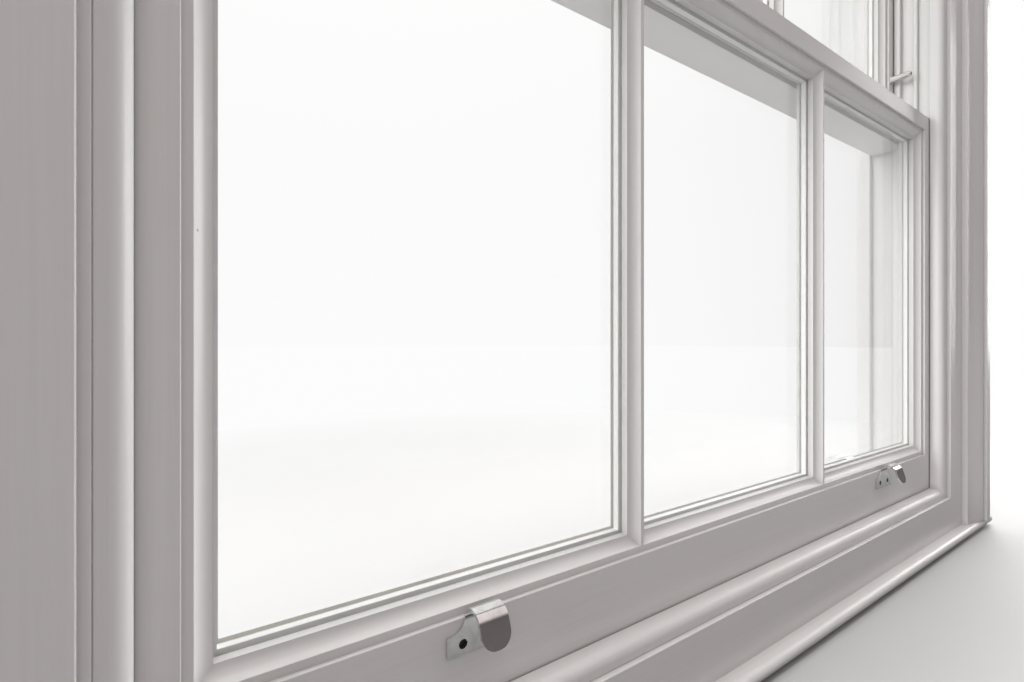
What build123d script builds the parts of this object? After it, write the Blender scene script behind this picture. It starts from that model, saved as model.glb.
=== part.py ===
from build123d import *
import os
from math import cos, hypot, pi, radians, sin, sqrt, tan

# Double-hung sash window in its cased frame, each sash with three upright double-glazed panes.
# Millimetres. X runs to the right as seen from the room, Y runs outwards, Z runs up.
# The origin is on the underside of the sill, midway across and in line with the parting beads.

# Opening and sashes
opening_width = 1118
sill_height = 79
sash_height = 642
sash_thickness = 41
sash_side_gap = 1.5
sash_rest_gap = 0.3
track_gap = 1
pane_count = 3

# Widths of the sash members, from the outer edge to the timber sight line
stile_width = 42.5
bottom_rail_height = 84.3
meeting_rail_height = 39.3
top_rail_height = 46
bar_nose_width = 3.7

# Moulding round each pane, a small step and then a hollow
step_width = 5.8
step_depth = 3.6
hollow_width = 9.1
hollow_depth = 7.9
hollow_turn = 68
quirk_width = 0.5

# Softened corners of the painted timber
arris_round = 0.8
nose_round = 0.5

# Glazing
glass_front_depth = 18
glass_thickness = 4
cavity_depth = 6
rebate_cover = 7.4
glass_edge_gap = 1.5
spacer_edge_gap = 3
spacer_sight = 2.5
putty_sight = 4
putty_edge = 1
putty_setback = 0.5

# Joinery of the sashes
tenon_thickness = 13
tenon_front_depth = 14
bottom_tenon_margin = 12
tenon_margin = 5
meeting_overhang = 5
meeting_gap = 0.5
meeting_splay_angle = 8
bead_clearance = 3
cord_groove_width = 14
cord_groove_depth = 12
cord_groove_length = 180

# Frame boards
pulley_stile_thickness = 25
head_thickness = 25
housing_depth = 6
tongue_size = 6
weight_box_width = 64
back_lining_thickness = 6
outer_lining_thickness = 20
outer_lining_overlap = 12
parting_bead_thickness = 9
parting_bead_width = 20
parting_bead_overlap = 10
parting_bead_round = 1.2
pocket_width = 34
pocket_height = 340
pocket_bottom = 60
pocket_gap = 0.4
pocket_splay = 6
slip_thickness = 5
slip_side_gap = 2
slip_clearance = 0.2
slip_bottom_gap = 150

# Room side mouldings
staff_bead_overlap = 9
staff_bead_width = 14.7
staff_bead_thickness = 18
staff_bead_round = 8.9
lining_thickness = 23
lining_rebate_width = 5.2
lining_rebate_depth = 5
lining_sight = 79
architrave_width = 78
architrave_thickness = 21
architrave_inner_edge = 8
architrave_flat = 6
architrave_ogee_rise = 8.5
band_width = 19
band_round = 2
band_quirk_width = 2
band_quirk_depth = 3
board_level = 18
board_thickness = 14
board_projection = 17
board_overhang = 30
board_round = 6.9

# Sill
sill_check_depth = 8
sill_slope_angle = 8
sill_projection = 56
drip_width = 8
drip_depth = 6
drip_setback = 14

# Pulleys, cords and weights
cord_diameter = 6
cord_inset = 4
knot_radius = 5.3
knot_length = 10
knot_round = 2.5
wheel_groove_radius = 25
wheel_rim = 4.5
wheel_width = 10
wheel_hole_count = 4
wheel_hole_diameter = 8
wheel_side_gap = 0.5
cord_wheel_gap = 0.3
pin_diameter = 8
pin_clearance = 0.05
cheek_thickness = 2.5
cheek_edge = 12
face_plate_width = 28
face_plate_length = 120
face_plate_thickness = 3
face_plate_gap = 0.3
pulley_drop = 110
mortise_gap = 0.5
wheel_mortise_gap = 3
weight_depth = 40
weight_width = 50
weight_corner = 6
lower_weight_length = 550
upper_weight_length = 545
lower_weight_drop = 75
upper_weight_lift = 60
weight_bore = 8
weight_bore_depth = 22
weight_pocket_radius = 8

# Hook lifts
lift_spacing = 706
lift_base_height = 44
lift_plate_width = 51
lift_plate_height = 14.7
lift_neck_radius = 12
lift_tongue_width = 23.4
lift_thickness = 2
lift_rise = 34.7
lift_bend_radius = 11.3
lift_lip_length = 17
lift_lip_corner = 10.5
lift_flare = 19
lift_corner = 1.2
lift_screw_spacing = 26
lift_screw_height = 7.5
screw_head_diameter = 6.6
screw_head_depth = 1.4
screw_shank_diameter = 3
screw_length = 18
screw_clearance = 0.1
driver_slot_width = 1.2
driver_slot_depth = 0.5
driver_slot_turn = 30

# Sash stops
stop_height = 81
stop_diameter = 11
stop_end_round = 1
stop_length = 31
stop_inset = 23.5
stop_collar_diameter = 14.5
stop_collar_thickness = 1.2
stop_shank_diameter = 8
stop_shank_length = 22
stop_socket_diameter = 5
stop_socket_depth = 6

# Places worked out from the sizes above
opening_half = opening_width / 2
sash_width = opening_width - 2 * sash_side_gap
sash_half = sash_width / 2
track_front = parting_bead_thickness / 2 + track_gap
lower_face = -track_front - sash_thickness
upper_face = track_front
stile_front = lower_face - track_gap
stile_back = upper_face + sash_thickness + track_gap
lining_face = stile_front - lining_thickness
lower_bottom = sill_height + sash_rest_gap
lower_top = lower_bottom + sash_height
moulding_width = hollow_width + quirk_width
frame_mould = arris_round + step_width + moulding_width
bar_mitre = moulding_width + nose_round
daylight_height = sash_height - bottom_rail_height - meeting_rail_height
upper_bottom = lower_top - meeting_rail_height
upper_height = meeting_rail_height + daylight_height + top_rail_height
upper_top = upper_bottom + upper_height
head_soffit = upper_top + sash_rest_gap
box_half = opening_half + pulley_stile_thickness + weight_box_width + back_lining_thickness
bead_half = opening_half - staff_bead_overlap
bead_bottom = sill_height + staff_bead_overlap + 1
bead_top = head_soffit - staff_bead_overlap
lining_half = bead_half + staff_bead_width
lining_low_edge = bead_bottom - staff_bead_width
lining_high_edge = bead_top + staff_bead_width
sight_half = bead_half + lining_sight
sight_top = bead_top + lining_sight
board_top = board_level
board_underside = board_level - board_thickness
lining_top = bead_top + (box_half - bead_half)
architrave_half = sight_half + architrave_width
architrave_top = sight_top + architrave_width
sill_front = stile_back + outer_lining_thickness + sill_projection
pulley_height = head_soffit - pulley_drop
lower_track = lower_face + sash_thickness / 2
upper_track = upper_face + sash_thickness / 2
cord_radius = cord_diameter / 2
wheel_pitch = wheel_groove_radius + cord_radius + cord_wheel_gap
wheel_radius = wheel_groove_radius + wheel_rim
cord_line = opening_half - cord_inset
wheel_line = cord_line + wheel_pitch
weight_line = wheel_line + wheel_pitch
far = 3000


def block(x0, x1, y0, y1, z0, z1):
    """A rectangular block between two corners."""
    place = Pos((x0 + x1) / 2, (y0 + y1) / 2, (z0 + z1) / 2)
    return place * Box(abs(x1 - x0), abs(y1 - y0), abs(z1 - z0))


def plate(points):
    """A flat outline in the plane of the window, made into a prism right through it."""
    return extrude(Plane.XZ * Polygon(*points, align=None), amount=far, both=True)


def left_of(solid):
    """The same piece on the other side of the window."""
    return mirror(solid, about=Plane.YZ)


def along(outline, start, inward, direction, length):
    """Runs a section along a member. The section's first axis points inward, its second outwards."""
    plane = Plane(origin=start, x_dir=inward, z_dir=direction)
    return extrude(plane * outline, amount=length)


def softened(section, places, radius):
    """A section with its corners at the given places rounded."""
    corners = [min(section.vertices(), key=lambda v: hypot(v.X - x, v.Y - y)) for x, y in places]
    return fillet(corners, radius)


def upright_edges(solid, places):
    """The upright edges of a solid that stand nearest to the given places."""
    edges = solid.edges().filter_by(Axis.Z)
    return [min(edges, key=lambda e: hypot(e.center().X - x, e.center().Y - y)) for x, y in places]


def level_edge(solid, y, z):
    """The edge across the window that lies nearest to a place."""
    return min(solid.edges().filter_by(Axis.X), key=lambda e: hypot(e.center().Y - y, e.center().Z - z))


def hollow(start, side):
    """The hollow of the pane moulding, from its nose at start towards the glass."""
    end = (start[0] + side * hollow_width, start[1] + hollow_depth)
    chord = sqrt(hollow_width ** 2 + hollow_depth ** 2)
    sag = chord / 2 * tan(radians(hollow_turn / 4))
    middle_x = (start[0] + end[0]) / 2 - side * sag * hollow_depth / chord
    middle_y = (start[1] + end[1]) / 2 + sag * hollow_width / chord
    return ThreePointArc(start, (middle_x, middle_y), end)


def member_section(width):
    """Section of a stile or rail: flat face, step, hollow, glass seat and rebate."""
    nose = width - moulding_width
    seat = width - rebate_cover
    curve = hollow((nose, step_depth), 1)
    face = Polyline((0, 0), (nose - step_width, 0), (nose - step_width, step_depth), (nose, step_depth))
    back = Polyline(
        (nose + hollow_width, step_depth + hollow_depth),
        (width, step_depth + hollow_depth),
        (width, glass_front_depth),
        (seat, glass_front_depth),
        (seat, sash_thickness),
        (0, sash_thickness),
        (0, 0),
    )
    section = softened(make_face(face + curve + back), [(nose - step_width, 0)], arris_round)
    return softened(section, [(nose, step_depth)], nose_round)


def bar_section():
    """Section of a glazing bar: thin nose, a hollow each side and a web between the panes."""
    nose = bar_nose_width / 2
    sight = nose + moulding_width
    web = sight - rebate_cover
    hollow_end = step_depth + hollow_depth
    right = hollow((nose, step_depth), 1)
    left = hollow((-nose, step_depth), -1)
    front = Line((-nose, step_depth), (nose, step_depth))
    back = Polyline(
        (nose + hollow_width, hollow_end),
        (sight, hollow_end),
        (sight, glass_front_depth),
        (web, glass_front_depth),
        (web, sash_thickness),
        (-web, sash_thickness),
        (-web, glass_front_depth),
        (-sight, glass_front_depth),
        (-sight, hollow_end),
        (-nose - hollow_width, hollow_end),
    )
    section = make_face(front + right + back + left)
    return softened(section, [(-nose, step_depth), (nose, step_depth)], nose_round)


def bar_centres():
    """The places of the glazing bars across a sash with equal panes."""
    clear = nose_width_clear()
    first = -sash_half + stile_width - moulding_width + clear + bar_nose_width / 2
    return [first + k * (clear + bar_nose_width) for k in range(pane_count - 1)]


def nose_width_clear():
    """The clear width of one pane between the noses of its mouldings."""
    between = sash_width - 2 * (stile_width - moulding_width)
    return (between - (pane_count - 1) * bar_nose_width) / pane_count


def pane_centres():
    """The middles of the panes across a sash."""
    clear = nose_width_clear()
    first = -sash_half + stile_width - moulding_width + clear / 2
    return [first + k * (clear + bar_nose_width) for k in range(pane_count)]


def stile_region(bottom, height, low_rail, high_rail):
    """What belongs to the right stile, with its moulding mitred to both rails."""
    edge = sash_half - stile_width + frame_mould
    low = bottom + low_rail - frame_mould
    high = bottom + height - high_rail + frame_mould
    top = bottom + height
    sight = edge - frame_mould
    return plate([
        (sash_half, bottom), (sash_half, top), (edge, top), (edge, high),
        (sight, high - frame_mould), (sight, low + frame_mould), (edge, low), (edge, bottom),
    ])


def bar_region(centre, bottom, height, low_rail, high_rail):
    """What belongs to a glazing bar, pointed at both ends where it mitres with the rails."""
    nose = bar_nose_width / 2 - nose_round
    reach = bar_mitre
    low = bottom + low_rail - reach
    high = bottom + height - high_rail + reach
    return plate([
        (centre - nose, low), (centre + nose, low), (centre + nose + reach, low + reach),
        (centre + nose + reach, high - reach), (centre + nose, high), (centre - nose, high),
        (centre - nose - reach, high - reach), (centre - nose - reach, low + reach),
    ])


def tenon(face, edge, low, high):
    """The right tenon of a rail, which is also the shape of its mortise."""
    front = face + tenon_front_depth
    return block(edge, sash_half, front, front + tenon_thickness, low, high)


def cord_groove(face, top):
    """Groove in the right edge of a sash for the cord and its knot."""
    middle = face + sash_thickness / 2
    half = cord_groove_width / 2
    inner = sash_half - cord_groove_depth
    return block(inner, sash_half + 1, middle - half, middle + half, top - cord_groove_length, top + 1)


def make_sash(face, bottom, height, low_rail, high_rail, low_margin):
    """The timber of one sash: two stiles, two rails and the glazing bars."""
    edge = sash_half - stile_width + frame_mould
    top = bottom + height
    region = stile_region(bottom, height, low_rail, high_rail)
    regions = [region, left_of(region)]
    bars = [bar_region(centre, bottom, height, low_rail, high_rail) for centre in bar_centres()]
    low_tenon = tenon(face, edge, bottom + low_margin, bottom + low_rail - frame_mould - tenon_margin)
    high_tenon = tenon(face, edge, top - high_rail + frame_mould + tenon_margin, top - tenon_margin)
    groove = cord_groove(face, top)

    stile = along(member_section(stile_width), (sash_half, face, top), (-1, 0, 0), (0, 0, -1), height)
    stile = (stile & region) - low_tenon - high_tenon - groove

    start = (sash_half, face, bottom)
    bottom_rail = along(member_section(low_rail), start, (0, 0, 1), (-1, 0, 0), sash_width)
    start = (-sash_half, face, top)
    top_rail = along(member_section(high_rail), start, (0, 0, -1), (1, 0, 0), sash_width)
    for cutter in regions + bars:
        bottom_rail = bottom_rail - cutter
        top_rail = top_rail - cutter
    bottom_rail = bottom_rail + low_tenon + left_of(low_tenon)
    top_rail = top_rail + high_tenon + left_of(high_tenon) - groove - left_of(groove)

    bar_length = height - low_rail - high_rail + 2 * bar_mitre
    bar_foot = bottom + low_rail - bar_mitre
    bar_solids = []
    for centre, cutter in zip(bar_centres(), bars):
        bar = along(bar_section(), (centre, face, bar_foot), (1, 0, 0), (0, 0, 1), bar_length)
        bar_solids.append(bar & cutter)
    return stile, bottom_rail, top_rail, bar_solids


def meeting_strip(side):
    """Strip along a meeting rail that closes the gap between the sashes, towards the room or out."""
    middle = lower_top - meeting_rail_height / 2
    lean = tan(radians(meeting_splay_angle))
    half = opening_half - parting_bead_overlap - bead_clearance
    if side < 0:
        low = lower_top - meeting_rail_height + rebate_cover
        high = lower_top
    else:
        low = lower_top - meeting_rail_height
        high = lower_top - frame_mould
    back = side * track_front
    gap = side * meeting_gap / 2
    low_face = (low - middle) * lean + gap
    high_face = (high - middle) * lean + gap
    outline = Polygon((back, low), (low_face, low), (high_face, high), (back, high), align=None)
    return extrude(Plane.YZ * outline, amount=half, both=True)


def pane_ring(centre, face, low, high, outer, inner, front, back):
    """A closed rectangular ring in one pane, its sides given from the nose of the moulding."""
    half = nose_width_clear() / 2
    whole = block(centre - half + outer, centre + half - outer, face + front, face + back,
                  low + outer, high - outer)
    window = block(centre - half + inner, centre + half - inner, face + front - 1, face + back + 1,
                   low + inner, high - inner)
    return whole - window


def putty_ring(centre, face, low, high):
    """Sloped outer putty round one pane."""
    seat = moulding_width - rebate_cover
    half = nose_width_clear() / 2
    front = glass_front_depth + 2 * glass_thickness + cavity_depth
    back = sash_thickness - putty_setback
    sight = moulding_width + putty_sight
    whole = block(centre - half + seat, centre + half - seat, face + front, face + back,
                  low + seat, high - seat)
    middle = (low + high) / 2

    def opening(depth, inset):
        plane = Plane(origin=(centre, face + depth, middle), x_dir=(1, 0, 0), z_dir=(0, 1, 0))
        return plane * Rectangle(2 * (half - inset), high - low - 2 * inset)

    window = loft([opening(front, sight).face(), opening(back, seat + putty_edge).face()], ruled=True)
    return whole - window


def make_glazing(face, bottom, height, low_rail, high_rail):
    """Glass sheets, spacer bars and putty of one sash."""
    low = bottom + low_rail - moulding_width
    high = bottom + height - high_rail + moulding_width
    seat = moulding_width - rebate_cover
    edge = seat + glass_edge_gap
    half = nose_width_clear() / 2
    inner_front = glass_front_depth + glass_thickness
    sheets, spacers, putty = [], [], []
    for centre in pane_centres():
        for depth in (glass_front_depth, inner_front + cavity_depth):
            sheets.append(block(centre - half + edge, centre + half - edge, face + depth,
                                face + depth + glass_thickness, low + edge, high - edge))
        spacers.append(pane_ring(centre, face, low, high, edge + spacer_edge_gap,
                                 moulding_width + spacer_sight, inner_front, inner_front + cavity_depth))
        putty.append(putty_ring(centre, face, low, high))
    return sheets, spacers, putty


def sill():
    """Weathered sill with its check, slope and drip groove, housed for the pulley stiles."""
    check = lower_face + sash_thickness + meeting_overhang
    top = sill_height - sill_check_depth
    front_top = top - (sill_front - check) * tan(radians(sill_slope_angle))
    outline = Polygon(
        (stile_front, 0), (sill_front, 0), (sill_front, front_top), (check, top),
        (check, sill_height), (stile_front, sill_height), align=None,
    )
    body = extrude(Plane.YZ * outline, amount=box_half, both=True)
    drip = sill_front - drip_setback - drip_width
    body = body - block(-box_half, box_half, drip, drip + drip_width, 0, drip_depth)
    for side in (1, -1):
        inner = side * opening_half
        outer = side * (opening_half + pulley_stile_thickness)
        body = body - block(inner, outer, stile_front, check, sill_height - housing_depth, sill_height)
    return body


def window_board():
    """Board with a rounded nosing and square ends, fixed against the face of the sill."""
    front = lining_face - board_projection
    half = architrave_half + board_overhang
    nosing = block(-half, half, front, lining_face, board_underside, board_top)
    nosing = fillet(nosing.edges().filter_by(Axis.X).group_by(Axis.Y)[0], board_round)
    return nosing + block(-box_half, box_half, lining_face, stile_front, board_underside, board_top)


def head():
    """Head board with its parting bead groove and housings."""
    top = head_soffit + head_thickness
    half = box_half - back_lining_thickness
    body = block(-half, half, stile_front, stile_back, head_soffit, top)
    groove = parting_bead_width - parting_bead_overlap
    half_bead = parting_bead_thickness / 2
    body = body - block(-opening_half, opening_half, -half_bead, half_bead, head_soffit, head_soffit + groove)
    for side in (1, -1):
        inner = side * opening_half
        outer = side * (opening_half + pulley_stile_thickness)
        body = body - block(inner, outer, stile_front, stile_back, head_soffit, head_soffit + housing_depth)
    slip = parting_slip(slip_clearance)
    return body - slip - left_of(slip)


def pocket_shape(gap):
    """The pocket in the right pulley stile with splayed ends, or the piece that fills it."""
    low = sill_height + pocket_bottom + gap
    high = low + pocket_height - 2 * gap
    inner = opening_half
    outer = opening_half + pulley_stile_thickness
    outline = Polygon((inner, low), (outer, low + pocket_splay), (outer, high + pocket_splay),
                      (inner, high), align=None)
    middle = lower_track
    width = pocket_width / 2 - gap
    return Pos(0, middle, 0) * extrude(Plane.XZ * outline, amount=width, both=True)


def face_plate_shape(track, thickness, extra):
    """Round-ended face plate of a pulley, flush with the pulley stile."""
    plane = Plane(origin=(opening_half, track, pulley_height), x_dir=(0, 0, 1), z_dir=(1, 0, 0))
    outline = SlotOverall(face_plate_length + 2 * extra, face_plate_width + 2 * extra)
    return extrude(plane * outline, amount=thickness)


def cheek_box(track, extra):
    """The space of a pulley's two cheeks and the wheel between them."""
    half = wheel_width / 2 + wheel_side_gap + cheek_thickness + extra
    tall = wheel_radius + wheel_mortise_gap + cheek_thickness + extra
    deep = wheel_line + cheek_edge + extra
    return block(opening_half + face_plate_thickness, deep, track - half, track + half,
                 pulley_height - tall, pulley_height + tall)


def pulley_case(track):
    """Face plate and cheeks of the right pulley, cast as one piece."""
    case = face_plate_shape(track, face_plate_thickness, 0) + cheek_box(track, 0)
    half = wheel_width / 2 + wheel_side_gap
    tall = wheel_radius + wheel_mortise_gap
    slot = block(opening_half - 1, wheel_line + wheel_radius + cheek_edge, track - half, track + half,
                 pulley_height - tall, pulley_height + tall)
    bore = Pos(wheel_line, track, pulley_height) * Rot(90, 0, 0) * Cylinder(pin_diameter / 2, face_plate_width)
    return case - slot - bore


def pulley_pin(track):
    """Axle pin of the right pulley, flush with the outsides of the cheeks."""
    length = wheel_width + 2 * wheel_side_gap + 2 * cheek_thickness
    return Pos(wheel_line, track, pulley_height) * Rot(90, 0, 0) * Cylinder(pin_diameter / 2, length)


def pulley_wheel(track):
    """Grooved wheel of the right pulley, turned as one piece."""
    half = wheel_width / 2
    bore = pin_diameter / 2 + pin_clearance
    groove = cord_radius + cord_wheel_gap
    lip = sqrt(groove ** 2 - (groove - wheel_rim) ** 2)
    outline = Polyline((wheel_radius, lip), (wheel_radius, half), (bore, half), (bore, -half),
                       (wheel_radius, -half), (wheel_radius, -lip))
    curve = ThreePointArc((wheel_radius, -lip), (wheel_groove_radius, 0), (wheel_radius, lip))
    section = make_face(outline + curve)
    wheel = revolve(Plane.XZ * section, axis=Axis.Z)
    hole = Pos((bore + wheel_groove_radius) / 2, 0, 0) * Cylinder(wheel_hole_diameter / 2, wheel_width)
    for k in range(wheel_hole_count):
        wheel = wheel - Rot(0, 0, 360 * k / wheel_hole_count) * hole
    return Pos(wheel_line, track, pulley_height) * Rot(90, 0, 0) * wheel


def scribed(piece, sill_piece):
    """The part of a piece above the sill, cut to the sill's weathered top."""
    return max((piece - sill_piece).solids(), key=lambda solid: solid.volume)


def pulley_stile(sill_piece):
    """Right pulley stile, grooved for the parting bead and cut for pulleys and pocket."""
    low = sill_height / 2
    high = head_soffit + housing_depth
    outer = opening_half + pulley_stile_thickness
    stile = block(opening_half, outer, stile_front, stile_back, low, high)
    half_bead = parting_bead_thickness / 2
    groove = parting_bead_width - parting_bead_overlap
    stile = stile - block(opening_half, opening_half + groove, -half_bead, half_bead, low, high)
    middle = (opening_half + outer) / 2
    for edge, way in ((stile_front, -1), (stile_back, 1)):
        stile = stile + block(middle - tongue_size / 2, middle + tongue_size / 2, edge,
                              edge + way * tongue_size, sill_height, head_soffit)
    for track in (lower_track, upper_track):
        stile = stile - face_plate_shape(track, face_plate_thickness, face_plate_gap)
        stile = stile - cheek_box(track, mortise_gap)
    return scribed(stile - pocket_shape(0), sill_piece)


def tongue_groove(edge, way):
    """Groove in a lining for the tongue of the right pulley stile."""
    middle = opening_half + pulley_stile_thickness / 2
    return block(middle - tongue_size / 2, middle + tongue_size / 2, edge,
                 edge + way * tongue_size, sill_height, head_soffit)


def inner_lining_side():
    """Right inner lining, rebated along the staff bead."""
    rebate_edge = lining_half + lining_rebate_width
    rebate_floor = lining_face + lining_rebate_depth
    lining = block(lining_half, box_half, lining_face, stile_front, board_top, lining_top)
    rebate = block(lining_half, rebate_edge, lining_face, rebate_floor, lining_low_edge, lining_high_edge)
    lining = lining - rebate - tongue_groove(stile_front, -1)
    return fillet(upright_edges(lining, [(rebate_edge, lining_face), (lining_half, rebate_floor)]), arris_round)


def inner_lining_across(low, high, bead_edge):
    """Inner lining between the two side linings, softened along the edge by the staff bead."""
    lining = block(-lining_half, lining_half, lining_face, stile_front, low, high)
    return fillet(level_edge(lining, lining_face, bead_edge), arris_round)


def outer_lining_side(sill_piece):
    """Right outer lining, standing on the slope of the sill."""
    inner = opening_half - outer_lining_overlap
    outer_face = stile_back + outer_lining_thickness
    lining = block(inner, box_half, stile_back, outer_face, sill_height / 2, lining_top)
    return scribed(lining - tongue_groove(stile_back, 1), sill_piece)


def outer_lining_across():
    """Outer lining over the head."""
    inner = opening_half - outer_lining_overlap
    return block(-inner, inner, stile_back, stile_back + outer_lining_thickness,
                 head_soffit - outer_lining_overlap, lining_top)


def back_lining(sill_piece):
    """Thin back of the right weight box."""
    lining = block(box_half - back_lining_thickness, box_half, stile_front, stile_back,
                   sill_height / 2, head_soffit + head_thickness)
    return scribed(lining, sill_piece)


def parting_slip(extra):
    """Thin board that hangs from a slot in the head between the two right weights."""
    inner = opening_half + pulley_stile_thickness + slip_side_gap
    outer = box_half - back_lining_thickness - slip_side_gap
    half = slip_thickness / 2 + extra
    return block(inner - extra, outer + extra, -half, half,
                 sill_height + slip_bottom_gap, head_soffit + head_thickness)


def parting_bead_side(sill_piece):
    """Right parting bead in its groove."""
    inner = opening_half - parting_bead_overlap
    half = parting_bead_thickness / 2
    bead = block(inner, inner + parting_bead_width, -half, half, sill_height / 2, head_soffit)
    bead = fillet(upright_edges(bead, [(inner, -half), (inner, half)]), parting_bead_round)
    return scribed(bead, sill_piece)


def parting_bead_head():
    """Parting bead under the head, between the side beads."""
    inner = opening_half - parting_bead_overlap
    half = parting_bead_thickness / 2
    low = head_soffit - parting_bead_overlap
    return block(-inner, inner, -half, half, low, low + parting_bead_width)


def staff_bead_section():
    """Section of a staff bead, its rounded corner towards the room and the sash."""
    deep = staff_bead_thickness
    bead = staff_bead_round
    lines = Polyline((bead, -deep), (staff_bead_width, -deep), (staff_bead_width, 0), (0, 0), (0, bead - deep))
    middle = bead * (1 - cos(pi / 4))
    curve = ThreePointArc((0, bead - deep), (middle, middle - deep), (bead, -deep))
    return softened(make_face(lines + curve), [(staff_bead_width, -deep)], arris_round)


def mitred_side(half, low, high, width, solid):
    """Keeps the part of a right-hand upright moulding that lies outside its two mitres."""
    region = plate([(half, low), (half, high), (half + width, high + width), (half + width, low - width)])
    return solid & region


def mitred_across(half, level, width, way, solid):
    """Keeps the part of a moulding across the window that lies between its mitres."""
    end = level + way * width
    region = plate([(-half, level), (half, level), (half + width, end), (-half - width, end)])
    return solid & region


def staff_beads():
    """Right, top and bottom staff beads with mitred corners."""
    section = staff_bead_section()
    width = staff_bead_width
    reach = bead_top - bead_bottom + 2 * width
    start = (bead_half, stile_front, bead_bottom - width)
    right = along(section, start, (1, 0, 0), (0, 0, 1), reach)
    right = mitred_side(bead_half, bead_bottom, bead_top, width, right)
    across = 2 * (bead_half + width)
    start = (-bead_half - width, stile_front, bead_bottom)
    bottom = along(section, start, (0, 0, -1), (1, 0, 0), across)
    bottom = mitred_across(bead_half, bead_bottom, width, -1, bottom)
    start = (bead_half + width, stile_front, bead_top)
    top = along(section, start, (0, 0, 1), (-1, 0, 0), across)
    top = mitred_across(bead_half, bead_top, width, 1, top)
    return right, top, bottom


def architrave_section():
    """Section of the architrave: inner flat, long ogee, quirk and raised outer band."""
    width = architrave_width
    deep = architrave_thickness
    inner = architrave_inner_edge
    band = width - band_width
    quirk = band - band_quirk_width
    high = inner + architrave_ogee_rise
    floor = high - band_quirk_depth
    back = Polyline((band, -floor), (band, -deep), (width, -deep), (width, 0), (0, 0), (0, -inner),
                    (architrave_flat, -inner))
    ogee = Spline((architrave_flat, -inner), (quirk, -high), tangents=((1, 0), (1, 0)))
    groove = Polyline((quirk, -high), (quirk, -floor), (band, -floor))
    section = softened(make_face(back + ogee + groove), [(band, -deep), (width, -deep)], band_round)
    return softened(section, [(0, -inner), (quirk, -high)], arris_round)


def architraves():
    """Right and top architraves, mitred at the head and standing on the window board."""
    section = architrave_section()
    width = architrave_width
    start = (sight_half, lining_face, board_top)
    right = along(section, start, (1, 0, 0), (0, 0, 1), architrave_top - board_top)
    right = mitred_side(sight_half, board_top - width, sight_top, width, right)
    right = right & block(0, far, -far, far, board_top, far)
    start = (architrave_half, lining_face, sight_top)
    top = along(section, start, (0, 0, 1), (-1, 0, 0), 2 * architrave_half)
    return right, mitred_across(sight_half, sight_top, width, 1, top)


def cord(track, knot_height, weight_top):
    """Right sash cord: from its knot in the sash, over the wheel and down into the weight."""
    end = weight_top - weight_bore_depth
    run = pulley_height - knot_height
    drop = pulley_height - end
    disc = Circle(cord_radius)
    sash_side = Pos(cord_line, track, knot_height) * extrude(disc, amount=run)
    weight_side = Pos(weight_line, track, end) * extrude(disc, amount=drop)
    ring = Pos(wheel_line, track, pulley_height) * Rot(90, 0, 0) * Torus(wheel_pitch, cord_radius)
    over = ring & block(0, far, -far, far, pulley_height, far)
    knot = Cylinder(knot_radius, knot_length)
    knot = fillet(knot.edges().filter_by(GeomType.CIRCLE), knot_round)
    sash_knot = Pos(cord_line + cord_radius - knot_radius, track, knot_height) * knot
    weight_knot = Pos(weight_line, track, end) * knot
    return sash_side + over + weight_side + sash_knot + weight_knot


def weight(track, top, length):
    """Right sash weight: a cast bar with a bore and a pocket for the knot."""
    half_x = weight_width / 2
    half_y = weight_depth / 2
    body = block(weight_line - half_x, weight_line + half_x, track - half_y, track + half_y, top - length, top)
    body = fillet(body.edges().filter_by(Axis.Z), weight_corner)
    body = chamfer(body.faces().sort_by(Axis.Z)[-1].edges(), weight_corner / 2)
    bore = Pos(weight_line, track, top - weight_bore_depth / 2)
    bore = bore * Cylinder(weight_bore / 2, weight_bore_depth + 2)
    pocket = Pos(weight_line, track, top - weight_bore_depth) * Rot(90, 0, 0)
    pocket = pocket * Cylinder(weight_pocket_radius, weight_depth + 2)
    return body - bore - pocket


def arc_round(middle, start, end, radius):
    """The arc between two points round a middle, by the shorter way."""
    x = (start[0] + end[0]) / 2 - middle[0]
    y = (start[1] + end[1]) / 2 - middle[1]
    scale = radius / hypot(x, y)
    return ThreePointArc(start, (middle[0] + x * scale, middle[1] + y * scale), end)


def lift_plate(bend):
    """Front view of a hook lift up to its bend, narrowed to the tongue by a hollow at each side."""
    half = lift_plate_width / 2
    tongue = lift_tongue_width / 2
    shoulder = lift_plate_height
    neck = shoulder + lift_neck_radius
    foot = tongue + sqrt(lift_neck_radius ** 2 - (neck - bend) ** 2)
    hollows = [arc_round((way * foot, neck), (way * foot, shoulder), (way * tongue, bend), lift_neck_radius)
               for way in (1, -1)]
    plate_edge = Polyline((-foot, shoulder), (-half, shoulder), (-half, 0), (half, 0), (half, shoulder),
                          (foot, shoulder))
    outline = make_face(plate_edge + hollows[0] + Line((tongue, bend), (-tongue, bend)) + hollows[1])
    corners = [(way * half, height) for way in (1, -1) for height in (0, shoulder)]
    return softened(outline, corners, lift_corner)


def lift_hook(bend):
    """Side view of a hook lift from its bend to the end of its flared lip."""
    flare = radians(lift_flare)
    middle = (-lift_bend_radius, bend)
    inner_radius = lift_bend_radius - lift_thickness

    def ends(radius):
        lip = (middle[0] - radius * cos(flare), bend + radius * sin(flare))
        tip = (lip[0] - lift_lip_length * sin(flare), lip[1] - lift_lip_length * cos(flare))
        return (middle[0] + radius, bend), lip, tip

    start, lip, tip = ends(lift_bend_radius)
    inner_start, inner_lip, inner_tip = ends(inner_radius)
    return make_face(
        Line(inner_start, start)
        + arc_round(middle, start, lip, lift_bend_radius)
        + Polyline(lip, tip, inner_tip, inner_lip)
        + arc_round(middle, inner_lip, inner_start, inner_radius)
    )


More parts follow.
